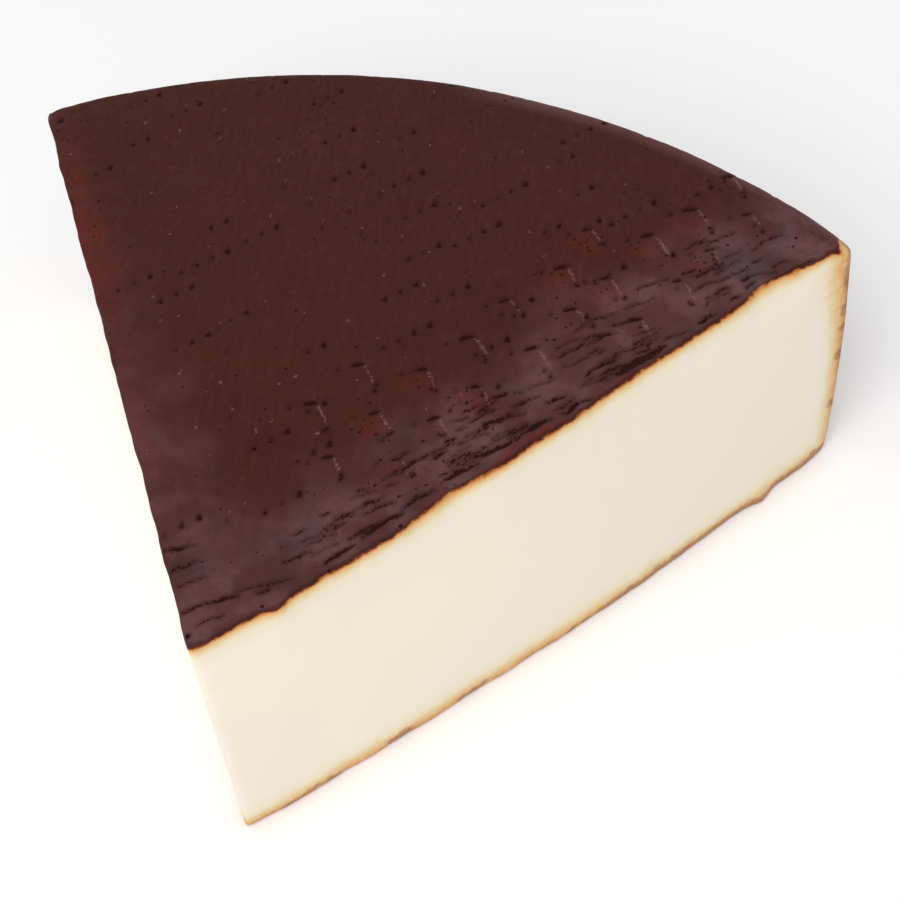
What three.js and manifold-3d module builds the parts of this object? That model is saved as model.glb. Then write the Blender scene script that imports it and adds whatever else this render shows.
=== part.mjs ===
// A wedge cut from a flat wheel of smoked cheese, lying on its own underside.
// Millimetres, +Z up. The tip of the wedge points to -Y and the round rind to +Y.
// The origin is on the surface that it rests on, at the centre of its bounding box.

import * as THREE from 'three';
import { mergeVertices } from 'three/addons/utils/BufferGeometryUtils.js';
import Module from 'manifold-3d';

const wasm = await Module();
wasm.setup();

// Driving dimensions of the wheel.
const WHEEL_RADIUS = 161.5;
const WHEEL_HEIGHT = 65.5;
const TOP_SHOULDER = 2.5; // radius that rounds the top face into the side
const BASE_SHOULDER = 6; // radius that rounds the side into the underside
const SIDE_BULGE = 0.5; // how far the side swells at half height

// Driving dimensions of the two knife cuts.
const SECTOR_ANGLE = THREE.MathUtils.degToRad(71.2);
const TIP_RADIUS = 1.2;
const BOW_AT_TOP = 0.8; // how far the middle of a cut face swells beyond a flat cut
const BOW_AT_BASE = 3.2;

// How finely the curved faces are divided.
const WHEEL_SEGMENTS = 144;
const SHOULDER_STEPS = 5;
const SIDE_STEPS = 6;
const TIP_STEPS = 8;
const CUT_STEPS = 28;
const CUT_LAYERS = 6;

// How far the cutting shape runs past the wheel, above, below and outside it.
const OVERRUN = 8;

const HALF_ANGLE = SECTOR_ANGLE / 2;
const SHOULDER_RADIUS = WHEEL_RADIUS - SIDE_BULGE;
// Rounding takes this much off the sharp tip, which would lie on the wheel's axis.
const TIP_LOSS = TIP_RADIUS / Math.sin(HALF_ANGLE) - TIP_RADIUS;
const AXIS_Y = -(WHEEL_RADIUS + TIP_LOSS) / 2;

// A quarter round of the section, turning up from one direction to the next.
function shoulder(radius, centreZ, startAngle) {
  const points = [];
  for (let i = 0; i <= SHOULDER_STEPS; i += 1) {
    const angle = startAngle + (Math.PI / 2) * (i / SHOULDER_STEPS);
    const x = SHOULDER_RADIUS - radius + radius * Math.cos(angle);
    points.push(new THREE.Vector2(x, centreZ + radius * Math.sin(angle)));
  }
  return points;
}

// The side between the two shoulders, swelling by SIDE_BULGE in the middle.
function side(lowZ, highZ) {
  const points = [];
  for (let i = 1; i < SIDE_STEPS; i += 1) {
    const t = i / SIDE_STEPS;
    const x = SHOULDER_RADIUS + SIDE_BULGE * Math.sin(Math.PI * t);
    points.push(new THREE.Vector2(x, THREE.MathUtils.lerp(lowZ, highZ, t)));
  }
  return points;
}

// Half section of the wheel, from the axis at the underside round to the axis at the top.
function wheelSection() {
  const highZ = WHEEL_HEIGHT - TOP_SHOULDER;
  return [
    new THREE.Vector2(0, 0),
    ...shoulder(BASE_SHOULDER, BASE_SHOULDER, -Math.PI / 2),
    ...side(BASE_SHOULDER, highZ),
    ...shoulder(TOP_SHOULDER, highZ, 0),
    new THREE.Vector2(0, WHEEL_HEIGHT),
  ];
}

// The whole wheel, its axis upright where the two cuts meet.
function wheelGeometry() {
  const geometry = new THREE.LatheGeometry(wheelSection(), WHEEL_SEGMENTS);
  geometry.rotateX(Math.PI / 2);
  geometry.translate(0, AXIS_Y, 0);
  return geometry;
}

// Outline of the sector between the two cuts, seen from above, with its tip rounded.
// The cuts are straight here, and run on until the line between their ends clears the wheel.
function sectorOutline() {
  const tangent = TIP_RADIUS / Math.tan(HALF_ANGLE);
  const reach = (WHEEL_RADIUS + OVERRUN) / Math.cos(HALF_ANGLE);
  const cut = [];
  for (let i = 1; i <= CUT_STEPS; i += 1) {
    const distance = THREE.MathUtils.lerp(tangent, reach, i / CUT_STEPS);
    const x = distance * Math.sin(HALF_ANGLE);
    cut.push(new THREE.Vector2(x, AXIS_Y + distance * Math.cos(HALF_ANGLE)));
  }
  const shape = new THREE.Shape();
  const centreY = AXIS_Y + TIP_LOSS + TIP_RADIUS;
  shape.absarc(0, centreY, TIP_RADIUS, Math.PI + HALF_ANGLE, -HALF_ANGLE, false);
  cut.forEach((point) => shape.lineTo(point.x, point.y));
  cut.reverse().forEach((point) => shape.lineTo(-point.x, point.y));
  shape.closePath();
  return shape;
}

// Swells both cut faces: most at half their length, more at the base than at the top.
function bowCutFaces(geometry) {
  const position = geometry.getAttribute('position');
  for (let i = 0; i < position.count; i += 1) {
    const x = position.getX(i);
    const y = position.getY(i);
    const distance = Math.hypot(x, y - AXIS_Y) / WHEEL_RADIUS;
    const share = Math.max(0, 4 * distance * (1 - distance));
    const level = THREE.MathUtils.clamp(position.getZ(i) / WHEEL_HEIGHT, 0, 1);
    const bow = share * THREE.MathUtils.lerp(BOW_AT_BASE, BOW_AT_TOP, level);
    position.setX(i, x + Math.sign(x) * bow * Math.cos(HALF_ANGLE));
    position.setY(i, y - bow * Math.sin(HALF_ANGLE));
  }
}

// Everything between the two cuts, from below the wheel to above it.
function sectorGeometry() {
  const geometry = new THREE.ExtrudeGeometry(sectorOutline(), {
    depth: WHEEL_HEIGHT + 2 * OVERRUN,
    steps: CUT_LAYERS,
    curveSegments: TIP_STEPS,
    bevelEnabled: false,
  });
  geometry.translate(0, 0, -OVERRUN);
  bowCutFaces(geometry);
  return geometry;
}

// A closed three.js geometry as a solid that can be cut.
function toSolid(geometry) {
  geometry.deleteAttribute('normal');
  geometry.deleteAttribute('uv');
  const merged = mergeVertices(geometry);
  const mesh = new wasm.Mesh({
    numProp: 3,
    vertProperties: new Float32Array(merged.getAttribute('position').array),
    triVerts: new Uint32Array(merged.getIndex().array),
  });
  return new wasm.Manifold(mesh);
}

// A solid back as a three.js geometry.
function toGeometry(solid) {
  const mesh = solid.getMesh();
  const geometry = new THREE.BufferGeometry();
  geometry.setAttribute('position', new THREE.BufferAttribute(mesh.vertProperties, 3));
  geometry.setIndex(new THREE.BufferAttribute(mesh.triVerts, 1));
  geometry.computeVertexNormals();
  return geometry;
}

const wedgeSolid = toSolid(wheelGeometry()).intersect(toSolid(sectorGeometry()));

// Dried, smoked skin: dark chocolate brown with a low, waxy gloss.
const smokedRind = new THREE.MeshStandardMaterial({
  color: 0x482720,
  roughness: 0.6,
  metalness: 0,
});

const cheeseWedge = new THREE.Mesh(toGeometry(wedgeSolid), smokedRind);
cheeseWedge.name = 'cheese_wedge';

const part = new THREE.Group();
part.add(cheeseWedge);

export default part;
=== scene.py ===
"""A wedge cut from a flat wheel of smoked cheese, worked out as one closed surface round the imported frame.

The wedge lies on its underside with its tip towards -Y and its round rind towards +Y. Its shape is worked
out in millimetres and put into the mesh in metres.
"""

import math

import bpy
import numpy as np
from bpy.props import FloatProperty, FloatVectorProperty, IntProperty, PointerProperty
from mathutils import Matrix, Vector


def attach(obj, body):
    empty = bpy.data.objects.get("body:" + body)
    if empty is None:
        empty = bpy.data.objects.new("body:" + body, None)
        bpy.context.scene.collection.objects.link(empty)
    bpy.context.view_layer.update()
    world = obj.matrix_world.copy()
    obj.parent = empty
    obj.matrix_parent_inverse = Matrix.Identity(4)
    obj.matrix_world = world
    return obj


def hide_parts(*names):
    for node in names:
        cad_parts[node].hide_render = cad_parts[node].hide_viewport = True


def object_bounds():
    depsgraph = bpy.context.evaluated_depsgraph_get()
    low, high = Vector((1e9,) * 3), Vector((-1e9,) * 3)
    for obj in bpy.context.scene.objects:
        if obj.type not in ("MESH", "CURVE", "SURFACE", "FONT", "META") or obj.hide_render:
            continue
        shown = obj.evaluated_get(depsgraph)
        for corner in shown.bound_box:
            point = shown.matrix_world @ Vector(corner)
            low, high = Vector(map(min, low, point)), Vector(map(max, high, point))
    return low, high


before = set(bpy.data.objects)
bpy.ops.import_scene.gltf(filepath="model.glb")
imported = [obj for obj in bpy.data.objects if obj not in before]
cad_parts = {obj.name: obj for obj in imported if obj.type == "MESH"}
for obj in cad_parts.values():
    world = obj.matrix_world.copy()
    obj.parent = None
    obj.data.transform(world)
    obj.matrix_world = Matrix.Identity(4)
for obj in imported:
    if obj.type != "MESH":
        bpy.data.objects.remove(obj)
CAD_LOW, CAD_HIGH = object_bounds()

bl_info = {
    "name": "Smoked Cheese Wedge",
    "version": (1, 0, 0),
    "blender": (4, 5, 0),
    "location": "3D View > Sidebar > Cheese",
    "description": "Builds a wedge of smoked cheese with a netted rind and smooth cut faces",
    "category": "Add Mesh",
}

MM = 0.001
PIECE = "smoked_cheese_wedge"
CAD_NODE = "cheese_wedge"

# The soft lamp's place and width in metres, and the camera's sensor in mm.
LAMP_PLACE = (-0.05, -0.8, 0.92)
LAMP_WIDTH = 0.9
SENSOR_WIDTH = 36

# The net that the wheel was pressed and smoked in: steps from one knot's mark to the next, in mm.
NET_STEP = np.array([2.35, 2.8])
NET_ROW = np.array([4.6, -6.1])
# The net's pull, which drew its marks out: its lean from +Y, with the lean's cosine and sine.
NET_LEAN = math.radians(14)
NET_COS, NET_SIN = 0.97, 0.24
# Where the net pressed hard the marks come in runs, whose heads lie on a wider lattice. The grid is the
# number of heads each way, and home is the head that lies at the start.
RUN_STEP = np.array([12.5, 0.6])
RUN_ROW = np.array([-5.4, -11.7])
RUN_START = np.array([2.3, 3.7])
RUN_GRID, RUN_HOME = (21, 15), (10, 7)
RUN_LENGTH = 4
RUN_SHARE = 0.42
# Where it pulled hardest it tore the rind, on the same lattice from a start of its own.
TEAR_START = np.array([44.4, 50.0])
TEAR_GRID, TEAR_HOME = (14, 12), (7, 1)
# The right cut's direction in plan, from +X.
RIGHT_CUT_LEAN = math.radians(54.4)
# Grooves beside the right cut: how many, and every how many of them one lies at the lip or starts a group.
STROKES, LIP_EVERY, GROUP_EVERY = 150, 9, 6
# From a groove to the raised rind beyond it.
RAISED_BESIDE = np.array([0.9, -0.7, 0.0])

# Rings of points: round the top shoulder, on the upright side and round the base shoulder.
TOP_RINGS, SIDE_RINGS, BASE_RINGS = 10, 35, 10
# The cuts' rounded bottom edge in mm: its radius, and how far in from the cut the underside moves with it.
BASE_LIP, BASE_LIP_REACH = 1.0, 4
# How each cut bows out in mm, the right one (1) and the left one (-1): an arch and a slow wave, first at the
# bottom and then at the top.
CUT_BOWS = {1: ((3.2, -0.3), (0.8, 1.2)), -1: ((-0.3, 0.0), (0.0, 0.0))}
RIGHT_BELLY = 0.45
# The left cut leans inwards below its top: how far in it stands at the bottom, and how much less at the top.
LEFT_STANDS_IN, LEFT_LEAN = 0.75, 0.7
# Lumps of each cut's rounded top edge: the radius that each adds, how far along the cut and how wide it is.
LEAST_LIP = 0.5
LIP_LUMPS = {1: [(0.8, 56, 10), (1.3, 139, 8), (2.2, 163, 6)], -1: [(0.5, 96, 14), (1.8, 163, 6)]}
# Lumps, or notches if below nought, of the right cut's top line and bottom line, listed in the same way.
TOP_LINE_LUMPS = [(0.7, 18, 2.2), (-0.6, 57, 10), (-1.0, 140, 10)]
BASE_LINE_LUMPS = [(1.1, 138, 2.8), (0.7, 154, 7), (-0.6, 2, 4), (-0.4, 128, 5)]
# How near the round side and the right cut, in mm, the top's far corner is worn through to the paste.
WORN_CORNER = 3.9
# Creases across the tip: X, Y, lean in degrees, length, bend and half width in mm.
TIP_CREASES = [
    (-14.6, -61.6, 27, 7.5, -0.02, 0.28),
    (-5.4, -73.9, 37, 11.5, 0.012, 0.26),
    (2.9, -66.6, 31, 10.5, 0.012, 0.13),
    (-10.9, -65.8, 40, 5.6, 0.03, 0.24),
    (6.6, -66.2, 44, 3.2, 0.0, 0.2),
    (-2.4, -78.2, 30, 1.6, 0.0, 0.35),
    (-8.0, -68.3, 38, 6.0, 0.02, 0.08),
    (-1.0, -75.2, 42, 5.0, 0.02, 0.12),
]


def linear(hex_colour):
    """The linear red, green and blue of an sRGB hex colour."""
    channels = [int(hex_colour[k : k + 2], 16) / 255 for k in (1, 3, 5)]
    return tuple(c / 12.92 if c <= 0.04045 else ((c + 0.055) / 1.055) ** 2.4 for c in channels)


# ---------------------------------------------------------------------------------------------------------
# Settings
# ---------------------------------------------------------------------------------------------------------


def length_setting(name, description, default):
    """A property that is a length in metres."""
    return FloatProperty(
        name=name, description=description, default=default, unit="LENGTH", subtype="DISTANCE"
    )


def angle_setting(name, description, degrees):
    """A property that is an angle, from its default in degrees."""
    return FloatProperty(
        name=name, description=description, default=math.radians(degrees), unit="ROTATION", subtype="ANGLE"
    )


def colour_setting(name, description, hex_colour):
    """A property that is a colour, from its sRGB default."""
    return FloatVectorProperty(
        name=name, description=description, default=linear(hex_colour), subtype="COLOR", min=0, max=1
    )


class WedgeShape(bpy.types.PropertyGroup):
    """Sizes of the wedge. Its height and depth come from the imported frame."""

    height: length_setting("Height", "From the underside to the top face", CAD_HIGH.z - CAD_LOW.z)
    depth: length_setting("Depth", "From the tip to the middle of the round side", CAD_HIGH.y - CAD_LOW.y)
    cut_angle: angle_setting("Cut angle", "Angle between the two knife cuts", 71.2)
    tip_loss: length_setting(
        "Tip loss", "How much the rounded tip is short of the point where the two cuts would meet", 0.86 * MM
    )
    top_shoulder: length_setting("Top shoulder", "Radius from the top face to the round side", 2.5 * MM)
    base_shoulder: length_setting("Base shoulder", "Radius from the round side to the underside", 6 * MM)
    side_bulge: length_setting("Side bulge", "How far the round side swells at half height", 0.5 * MM)
    pit_depth: length_setting(
        "Pit depth", "Depth of the deepest marks that the net's knots left in the rind", 0.55 * MM
    )
    rows: IntProperty(
        name="Rows",
        description="Rows of the top face's mesh from the tip to the round side, a multiple of four",
        default=240,
        min=40,
        max=248,
    )


class WedgeColours(bpy.types.PropertyGroup):
    """Colours of the rind and the paste."""

    rind: colour_setting("Rind", "Smoked skin over the top face", "#452018")
    # Painted sheen: the haze colour is partly a painted sheen beside the cuts and round the far rim, not only
    # a dried bloom.
    haze_and_sheen: colour_setting("Haze", "Greyish bloom where the rind dried beside the cuts", "#6A4749")
    flush: colour_setting("Flush", "Redder rind where the smoke is thin", "#662018")
    # Painted shade: the hollow colour darkens pits and creases for shade as well as for soot.
    hollow_soot_and_shade: colour_setting("Hollow", "Soot held in pits and creases", "#280300")
    side: colour_setting("Side rind", "Smoked skin on the round side and the underside", "#633520")
    paste: colour_setting("Paste", "Cut cheese away from the rind", "#EAE1D2")


class WedgeStage(bpy.types.PropertyGroup):
    """Floor, light and camera."""

    azimuth: angle_setting("Azimuth", "How far the camera stands round to the right of the tip", 22.92)
    elevation: angle_setting("Elevation", "How far the camera looks down", 49.96)
    roll: angle_setting("Roll", "How far the camera leans to its right", 6.25)
    distance: length_setting("Distance", "From the camera to the point that it looks at", 381.4 * MM)
    aim: FloatVectorProperty(
        name="Aim",
        description="Point that the camera looks at, from the middle of the wedge",
        default=(19.3 * MM, 0.2 * MM, 0),
        unit="LENGTH",
        subtype="TRANSLATION",
    )
    lens: FloatProperty(
        name="Lens",
        description="Focal length on a 36 mm sensor, in millimetres",
        default=71.5,
    )
    floor: colour_setting("Floor", "Plain pale floor", "#FFFFFF")
    sky: FloatProperty(
        name="Sky",
        description="Strength of the even light from all round",
        default=0.7,
    )
    key: FloatProperty(
        name="Key light",
        description="Power of the large soft lamp in front",
        default=7.0,
        unit="POWER",
    )


# ---------------------------------------------------------------------------------------------------------
# Noise
# ---------------------------------------------------------------------------------------------------------


def scrambled(cells, seed):
    """A random number from 0 to 1 for each whole-numbered cell, always the same for the same cell.

    The cell's coordinates are multiplied by large odd numbers and added, and the sum's bits are folded over
    themselves and multiplied again until neighbouring cells have nothing in common."""
    factors = np.array([374761393, 668265263, 3266489917], dtype=np.uint32)
    wrapped = cells.astype(np.int64).astype(np.uint32)
    mixed = (wrapped * factors[: cells.shape[-1]]).sum(axis=-1, dtype=np.uint32)
    mixed ^= np.uint32(seed * 2654435761 % 2**32)
    for shift in (15, 13, 16):
        mixed ^= mixed >> np.uint32(shift)
        mixed *= np.uint32(2246822519)
    mixed ^= mixed >> np.uint32(15)
    return mixed / 2.0**32


def noise(points, size, seed):
    """Smooth noise from about -1 to 1, its bumps about `size` mm apart, which may differ for each axis.

    Space is cut into cubes. Each corner of a cube has a random slope, which gives a height that rises from
    nought at that corner, and the eight heights are blended by a curve that is flat at both ends."""
    scaled = points / np.asarray(size, dtype=float)
    cells = np.floor(scaled).astype(np.int64)
    inside = scaled - cells
    blend = inside**3 * (inside * (inside * 6 - 15) + 10)
    total = np.zeros(len(points))
    to_full_height = 1.7
    for corner in np.ndindex(*(2,) * points.shape[-1]):
        offset = np.array(corner)
        slopes = np.stack([scrambled(cells + offset, seed * 7 + k) for k in range(points.shape[-1])], -1)
        heights = ((slopes * 2 - 1) * (inside - offset)).sum(axis=-1)
        total += heights * np.prod(np.where(offset == 1, blend, 1 - blend), axis=-1)
    return total * to_full_height


def rough(points, size, seed, octaves=3):
    """Noise with detail: each octave is half as wide and half as high as the one before."""
    return sum(noise(points, np.asarray(size) / 2**k, seed + 31 * k) / 2**k for k in range(octaves))


def smooth_step(value, low, high):
    """0 below `low`, 1 above `high`, and between them a curve that is flat at both ends."""
    share = np.clip((value - low) / (high - low), 0, 1)
    return share * share * (3 - 2 * share)


def hump(value, centre, width):
    """A bell that is 1 at its centre and falls to a third at `width` from it."""
    return np.exp(-(((value - centre) / width) ** 2))


def lumps(along, listed):
    """The sum of bells along an edge, each listed as its height, its centre and its width."""
    return sum(height * hump(along, centre, width) for height, centre, width in listed)


# ---------------------------------------------------------------------------------------------------------
# Plain form of the wedge
# ---------------------------------------------------------------------------------------------------------


class Form:
    """The wedge's driving sizes in mm, and the distances that most functions need."""

    def __init__(self, shape):
        self.height = shape.height / MM
        self.radius = (shape.depth + shape.tip_loss) / MM
        self.axis_y = CAD_HIGH.y / MM - self.radius
        self.half = shape.cut_angle / 2
        self.tip = shape.tip_loss / MM
        self.top_shoulder = shape.top_shoulder / MM
        self.base_shoulder = shape.base_shoulder / MM
        self.bulge = shape.side_bulge / MM
        self.pit_depth = shape.pit_depth / MM
        self.rows = shape.rows // 4 * 4

    def along_and_in(self, points, side):
        """Distances along a cut from the wheel's axis, and in from it. Side 1 is the right cut, -1 the left
        one."""
        x = points[:, 0] * side
        y = points[:, 1] - self.axis_y
        along = x * math.sin(self.half) + y * math.cos(self.half)
        inwards = y * math.sin(self.half) - x * math.cos(self.half)
        return along, inwards

    def beside_right_cut(self, along, inwards):
        """The place in plan at a distance along the right cut and a distance in from it."""
        x = along * math.sin(self.half) - inwards * math.cos(self.half)
        y = along * math.cos(self.half) + inwards * math.sin(self.half)
        return np.array([x, y + self.axis_y])

    def lip(self, along, side):
        """Radius of the rounded top edge of a cut, where the knife pulled the rind over: the least radius
        and the edge's lumps."""
        return LEAST_LIP + lumps(along, LIP_LUMPS[side])


def rim_indices(rows):
    """Grid places round the edge of a square grid: out along the right cut, round the side and back along
    the left cut, from the corner that is the tip."""
    steps = np.arange(rows)
    full = np.full(rows, rows)
    none = np.zeros(rows, dtype=int)
    i = np.concatenate([steps, full, rows - steps, none])
    j = np.concatenate([none, steps, full, rows - steps])
    return i, j


def sector_points(form, i, j, rows, drop, rim_inset, z):
    """Places in the plan of the wedge for grid places i, j.

    The larger of i and j is the row, a circle round the wheel's axis. Their difference over the row, from
    -1 to 1, is the turn from the left cut to the right one. So a square grid becomes a sector of equal cells.
    `drop` is the depth below the rounded edge's start, which sets how far each cut is inset: a quarter
    circle whose radius is the lip's. `rim_inset` does the same for the round side."""
    row = np.maximum(i, j)
    turn = (i - j) / np.maximum(row, 1)
    least = edge_inset(form.lip(np.zeros(1), 1), drop)
    start = least / math.sin(form.half)
    distance = start + (form.radius - rim_inset - start) * row / rows
    turns = []
    for side in (1, -1):
        inset = edge_inset(form.lip(distance, side), drop)
        ratio = np.clip(inset / np.maximum(distance, 1e-6), 0, math.sin(form.half))
        turns.append(side * (form.half - np.arcsin(ratio)))
    angle = turns[0] * (1 + turn) / 2 + turns[1] * (1 - turn) / 2
    x = distance * np.sin(angle)
    y = form.axis_y + distance * np.cos(angle)
    return np.stack([x, y, np.broadcast_to(z, x.shape)], axis=-1)


def edge_inset(radius, drop):
    """How far a quarter-circle edge stands in at `drop` below its start: the radius less the circle's half
    width there."""
    left = np.clip(radius - drop, 0, None)
    return radius - np.sqrt(np.maximum(radius**2 - left**2, 0))


def side_levels(form):
    """Heights of the rings from the top edge to the underside, as one list round the top shoulder and one
    below it. Round each shoulder a ring's distance from the flat face grows as a power of its number, so
    that the rings are closest at the edge."""
    top = form.top_shoulder * (np.arange(TOP_RINGS) / (TOP_RINGS - 1)) ** 2.2
    base = form.base_shoulder * (np.arange(BASE_RINGS, -1, -1) / BASE_RINGS) ** 2
    middle = np.linspace(form.height - form.top_shoulder, form.base_shoulder, SIDE_RINGS + 2)[1:-1]
    return form.height - top, np.concatenate([middle, base])


def ring_points(form, z, step):
    """One ring round the wedge at height z, with every `step`-th column: a level outline of the wedge whose
    cuts are inset by the rounded edges, and whose side follows its shoulders and its slight swell."""
    i, j = rim_indices(form.rows)
    i, j = i[::step], j[::step]
    top_drop = form.height - z
    inset = edge_inset(form.top_shoulder, top_drop) + edge_inset(form.base_shoulder, z)
    inset += form.bulge * (1 - math.sin(math.pi * z / form.height))
    points = sector_points(form, i, j, form.rows, top_drop, inset, z)
    return pulled_in(form, points, edge_inset(BASE_LIP, z))


def wedge_grid(form):
    """Points and triangles of the whole closed surface.

    The top is a square grid bent into a sector. Rings go down from its edge with all its columns, then with
    half of them, and the underside is a grid with a quarter of the rows that closes the last ring."""
    rows = form.rows
    i, j = np.meshgrid(np.arange(rows + 1), np.arange(rows + 1), indexing="ij")
    top_inset = form.top_shoulder + form.bulge
    top = sector_points(form, i.ravel(), j.ravel(), rows, 0, top_inset, form.height)
    upper, lower = side_levels(form)
    parts = [top]
    for z in upper[1:]:
        parts.append(ring_points(form, z, 1))
    for z in lower[:-1]:
        parts.append(ring_points(form, z, 2))
    coarse = rows // 4
    base_i, base_j = np.meshgrid(np.arange(coarse + 1), np.arange(coarse + 1), indexing="ij")
    base_inset = form.base_shoulder + form.bulge
    base = sector_points(form, base_i.ravel(), base_j.ravel(), coarse, form.height, base_inset, 0.0)
    parts.append(pulled_in(form, base, BASE_LIP))

    faces = [grid_faces(rows, 0, upwards=True)]
    rim_i, rim_j = rim_indices(rows)
    ring = rim_i * (rows + 1) + rim_j
    start = len(top)
    for _ in upper[1:]:
        following = start + np.arange(4 * rows)
        faces.append(band_faces(ring, following))
        ring = following
        start += 4 * rows
    for k, _ in enumerate(lower[:-1]):
        following = start + np.arange(2 * rows)
        faces.append(halving_faces(ring, following) if k == 0 else band_faces(ring, following))
        ring = following
        start += 2 * rows
    rim_i, rim_j = rim_indices(coarse)
    faces.append(halving_faces(ring, start + rim_i * (coarse + 1) + rim_j))
    faces.append(grid_faces(coarse, start, upwards=False))
    return np.concatenate(parts), np.concatenate(faces)


def pulled_in(form, points, by):
    """The cuts' rounded bottom edge: points near a cut move in from it by `by` mm at the cut, and by less in
    proportion to how far in they are."""
    moved = points.copy()
    for side in (1, -1):
        _, inwards = form.along_and_in(points, side)
        share = np.clip(1 - inwards / BASE_LIP_REACH, 0, 1)
        moved[:, 0] -= side * by * share * math.cos(form.half)
        moved[:, 1] += by * share * math.sin(form.half)
    return moved


def grid_faces(rows, start, upwards):
    """Two triangles for each cell of a square grid. Each is split from the tip's side to the rim's side, so
    that the cells on the middle line, whose far corner lies on a circle, stay open."""
    i, j = np.meshgrid(np.arange(rows), np.arange(rows), indexing="ij")
    a = (start + i * (rows + 1) + j).ravel()
    b = a + rows + 1
    c = b + 1
    d = a + 1
    faces = np.concatenate([np.stack([a, b, c], -1), np.stack([a, c, d], -1)])
    return faces if upwards else faces[:, ::-1]


def band_faces(upper, lower):
    """Triangles of the band between two closed rings with the same number of points."""
    upper_next = np.roll(upper, -1)
    lower_next = np.roll(lower, -1)
    first = np.stack([upper, lower, lower_next], -1)
    second = np.stack([upper, lower_next, upper_next], -1)
    return np.concatenate([first, second])


def halving_faces(upper, lower):
    """Triangles of the band from a closed ring to one with half as many points: three for each lower
    step."""
    first = upper[0::2]
    middle = upper[1::2]
    last = np.roll(first, -1)
    lower_next = np.roll(lower, -1)
    return np.concatenate(
        [
            np.stack([first, lower, middle], -1),
            np.stack([middle, lower, lower_next], -1),
            np.stack([middle, lower_next, last], -1),
        ]
    )


def point_normals(points, faces):
    """Outward normals: each triangle's normal, as long as its area, is added at its three corners."""
    corners = points[faces]
    across = np.cross(corners[:, 1] - corners[:, 0], corners[:, 2] - corners[:, 0])
    normals = np.stack(
        [np.bincount(faces.ravel(), np.repeat(across[:, k], 3), len(points)) for k in range(3)], -1
    )
    return normals / np.maximum(np.linalg.norm(normals, axis=1, keepdims=True), 1e-12)


# ---------------------------------------------------------------------------------------------------------
# Swelling, softened corners and relief
# ---------------------------------------------------------------------------------------------------------


def soften_tip(form, points, fade=8):
    """Rounds the tip: each point near it moves along the middle line by the gap between the two straight
    cuts and the hyperbola that has them as its asymptotes. The move falls to a third at `fade` mm in from
    the cuts."""
    cot = 1 / math.tan(form.half)
    bend = form.tip / cot
    x = points[:, 0]
    behind = points[:, 1] - form.axis_y - np.abs(x) * cot
    shift = cot * (np.sqrt(x**2 + bend**2) - np.abs(x)) * np.exp(-np.maximum(behind, 0) / fade)
    moved = points.copy()
    moved[:, 1] += shift
    return moved


def soften_corners(form, points, reach=0.4, near_by=12):
    """Rounds the two upright corners between the cuts and the side, as a hyperbola whose asymptotes are the
    cut and the side. `reach` is how far it stands in from the corner, in mm, and only points within
    `near_by` mm of both faces move."""
    moved = points.copy()
    for side in (1, -1):
        along, inwards = form.along_and_in(moved, side)
        inwards = np.maximum(inwards, 0)
        distance = np.hypot(along, inwards)
        outer = form.radius - form.bulge - distance
        near = (inwards < near_by) & (outer < near_by)
        least = np.minimum(np.maximum(outer, 0), inwards)
        apart = outer - inwards
        bend = reach * np.exp(-least / 1.5)
        soft = (np.sqrt(apart**2 + 4 * bend**2) - np.abs(apart)) / 2
        fade = smooth_step(along, form.radius - 16, form.radius - 6)
        shift = np.where(near, soft * fade, 0)
        outwards = np.array([side * math.sin(form.half), math.cos(form.half)])
        off_the_cut = np.array([-side * math.cos(form.half), math.sin(form.half)])
        moved[:, :2] += shift[:, None] * (off_the_cut - outwards)
    return moved


def swollen(form, points):
    """Bends the straight cuts and the true circle as a knife and a cloth leave them.

    Each cut moves outwards by a low arch and one slow wave along it, blended from the bottom's to the top's.
    The right cut also has a slight belly at half height, and the left one leans inwards below its top. The
    move fades with distance in from the cut. The round side then gets its own slow waves."""
    moved = points.copy()
    level = np.clip(points[:, 2] / form.height, 0, 1)
    for side, (base, top) in CUT_BOWS.items():
        along, inwards = form.along_and_in(points, side)
        share = np.clip(along / form.radius, 0, 1)
        arch = 4 * share * (1 - share)
        wave = np.sin(2 * math.pi * share)
        at_base = base[0] * arch + base[1] * wave
        at_top = top[0] * arch + top[1] * wave
        if side > 0:
            wall = RIGHT_BELLY * np.sin(math.pi * level) * smooth_step(share, 0, 0.1)
        else:
            between_ends = smooth_step(along, 2, 14) * (1 - smooth_step(along, 152, 160))
            wall = (LEFT_LEAN * level - LEFT_STANDS_IN) * between_ends
        bow = at_base * (1 - level) + at_top * level + wall + edge_lines(form, along, level, side)
        bow *= np.exp(-((np.maximum(inwards, 0) / 14) ** 2))
        moved[:, 0] += side * bow * math.cos(form.half)
        moved[:, 1] -= bow * math.sin(form.half)
    return waved_side(form, points, moved, level)


def waved_side(form, points, moved, level):
    """Moves the round side in and out by two slow waves round it and in at both ends, and lets the top sink
    a little towards the side, most at its two corners."""
    y = points[:, 1] - form.axis_y
    distance = np.hypot(points[:, 0], y)
    turn = np.arctan2(points[:, 0], y)
    round_share = (1 - turn / form.half) / 2
    out = -0.5 * np.sin(2 * math.pi * round_share) - 0.3 * np.sin(3 * math.pi * round_share)
    out -= 0.7 * np.abs(2 * round_share - 1) ** 6
    out *= smooth_step(distance, form.radius - 40, form.radius)
    moved[:, 0] += out * np.sin(turn)
    moved[:, 1] += out * np.cos(turn)
    corner = np.exp(-((1 - np.abs(turn) / form.half) * form.radius * form.half / 6))
    droop = (0.25 + 1.1 * corner) * smooth_step(distance, form.radius - 9, form.radius) ** 1.5
    moved[:, 2] -= droop * level**3
    return moved


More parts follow.
